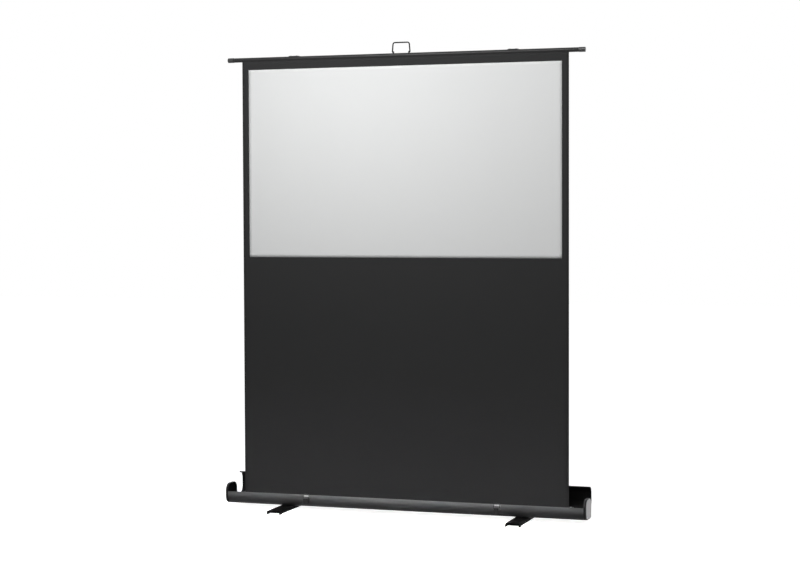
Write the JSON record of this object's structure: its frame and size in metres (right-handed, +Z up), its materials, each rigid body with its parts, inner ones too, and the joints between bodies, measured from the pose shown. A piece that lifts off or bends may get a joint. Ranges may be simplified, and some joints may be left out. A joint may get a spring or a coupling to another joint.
{
  "type": "portable pull-up projection screen",
  "caption": "Black-bordered white projection cloth pulled up from a long floor casing by a top bar on crossed folding arms, with a hinged lid, latches and swivelling feet.",
  "frame": {"origin": "bottom centre, on the floor midway between the feet", "axes": "+X along the casing, -Y the way the picture faces, +Z up"},
  "size_m": [1.8552, 0.414, 2.3055],
  "materials": {
    "casing": "satin black coat",
    "cap_plastic": "matte",
    "silver": "brushed",
    "zinc": "zinc plated",
    "steel": "bright",
    "black_steel": "satin black",
    "black_cloth": "matt",
    "white_cloth": "matt",
    "roller_alu": "mill",
    "arm_alu": "black anodised",
    "bar_alu": "satin black coat",
    "foot_steel": "satin black",
    "rubber": "matt"
  },
  "bodies": {
    "casing": {"casing_front": "casing", "casing_floor": "casing", "casing_rear": "casing", "left_end_cap": "cap_plastic", "right_end_cap": "cap_plastic", "left_end_face": "silver", "right_end_face": "silver", "end_screws": "zinc", "left_roller_bracket": "zinc", "right_roller_bracket": "zinc", "spring_arbor": "steel", "left_arm_bracket": "black_steel", "right_arm_bracket": "black_steel", "base_pins": "steel", "foot_bolts": "zinc", "foot_spacers": "cap_plastic", "foot_nuts": "zinc", "latch_bases": "zinc", "latch_pins": "steel", "screen_cloth": "black_cloth", "picture_surface": "white_cloth"},
    "lid": {"lid_shell": "casing", "latch_keepers": "black_steel"},
    "roller": {"roller_tube": "roller_alu", "roller_left_plug": "cap_plastic", "roller_right_plug": "cap_plastic", "roller_spring": "steel", "cloth_wrap": "black_cloth"},
    "lower_left": {"lower_left_arm": "arm_alu", "left_elbow_pin": "steel"},
    "upper_left": {"upper_left_arm": "arm_alu"},
    "lower_right": {"lower_right_arm": "arm_alu", "right_elbow_pin": "steel"},
    "upper_right": {"upper_right_arm": "arm_alu"},
    "top_bar": {"bar_tube": "bar_alu", "left_bar_cap": "cap_plastic", "right_bar_cap": "cap_plastic", "left_saddle": "black_steel", "right_saddle": "black_steel", "top_pins": "steel", "handle_lugs": "black_steel", "hem_rod": "steel"},
    "handle": {"handle_wire": "black_steel"},
    "left_foot": {"left_foot": "foot_steel", "left_foot_pads": "rubber"},
    "right_foot": {"right_foot": "foot_steel", "right_foot_pads": "rubber"},
    "left_latch_lever": {"left_latch_lever": "black_steel"},
    "left_latch_bail": {"left_latch_bail": "steel"},
    "right_latch_lever": {"right_latch_lever": "black_steel"},
    "right_latch_bail": {"right_latch_bail": "steel"}
  },
  "joints": [
    {"name": "screen_fold", "type": "hinge", "parent": "casing", "child": "lower_left", "pos_m": [-0.56, 0.0315, 0.05], "axis": [0, 1, 0], "range_deg": [0, 56.2], "deforming": ["screen_cloth", "picture_surface"]},
    {"name": "left_elbow", "type": "hinge", "parent": "lower_left", "child": "upper_left", "pos_m": [0.14803, 0.0353, 1.14027], "axis": [0, 1, 0], "range_deg": [-113.4, 0]},
    {"name": "bar_level", "type": "hinge", "parent": "upper_left", "child": "top_bar", "pos_m": [-0.56, 0.0353, 2.23054], "axis": [0, 1, 0], "range_deg": [0, 57.2]},
    {"name": "right_base", "type": "hinge", "parent": "casing", "child": "lower_right", "pos_m": [0.56, 0.0391, 0.05], "axis": [0, 1, 0], "range_deg": [-57.2, 0]},
    {"name": "right_elbow", "type": "hinge", "parent": "lower_right", "child": "upper_right", "pos_m": [-0.14803, 0.0429, 1.14027], "axis": [0, 1, 0], "range_deg": [0, 113.4]},
    {"name": "roller_turn", "type": "hinge", "parent": "casing", "child": "roller", "pos_m": [0, 0.002, 0.055], "axis": [1, 0, 0], "range_deg": [0, 5068]},
    {"name": "lid_hinge", "type": "hinge", "parent": "casing", "child": "lid", "pos_m": [0, 0.0575, 0.048], "axis": [1, 0, 0], "range_deg": [0, 18]},
    {"name": "handle_fold", "type": "hinge", "parent": "top_bar", "child": "handle", "pos_m": [0, -0.014, 2.25534], "axis": [-1, 0, 0], "range_deg": [0, 90]},
    {"name": "left_foot_swivel", "type": "hinge", "parent": "casing", "child": "left_foot", "pos_m": [-0.605, 0, 0.018], "axis": [0, 0, 1], "range_deg": [0, 90]},
    {"name": "right_foot_swivel", "type": "hinge", "parent": "casing", "child": "right_foot", "pos_m": [0.605, 0, 0.018], "axis": [0, 0, -1], "range_deg": [0, 90]},
    {"name": "left_latch_swing", "type": "hinge", "parent": "casing", "child": "left_latch_lever", "pos_m": [-0.489, -0.0635, 0.0604], "axis": [-1, 0, 0], "range_deg": [0, 100]},
    {"name": "left_bail_swing", "type": "hinge", "parent": "left_latch_lever", "child": "left_latch_bail", "pos_m": [-0.489, -0.0595, 0.0534], "axis": [-1, 0, 0], "range_deg": [-101, 0]},
    {"name": "right_latch_swing", "type": "hinge", "parent": "casing", "child": "right_latch_lever", "pos_m": [0.489, -0.0635, 0.0604], "axis": [-1, 0, 0], "range_deg": [0, 100]},
    {"name": "right_bail_swing", "type": "hinge", "parent": "right_latch_lever", "child": "right_latch_bail", "pos_m": [0.489, -0.0595, 0.0534], "axis": [-1, 0, 0], "range_deg": [-101, 0]}
  ],
  "couplings": [
    {"joint": "left_elbow", "follows": "screen_fold", "ratio": -2},
    {"joint": "bar_level", "follows": "screen_fold", "ratio": 1},
    {"joint": "right_base", "follows": "screen_fold", "ratio": -1},
    {"joint": "right_elbow", "follows": "screen_fold", "ratio": 2},
    {"joint": "roller_turn", "follows": "screen_fold", "ratio": 90},
    {"joint": "left_bail_swing", "follows": "left_latch_swing", "ratio": -1},
    {"joint": "right_bail_swing", "follows": "right_latch_swing", "ratio": -1}
  ]
}
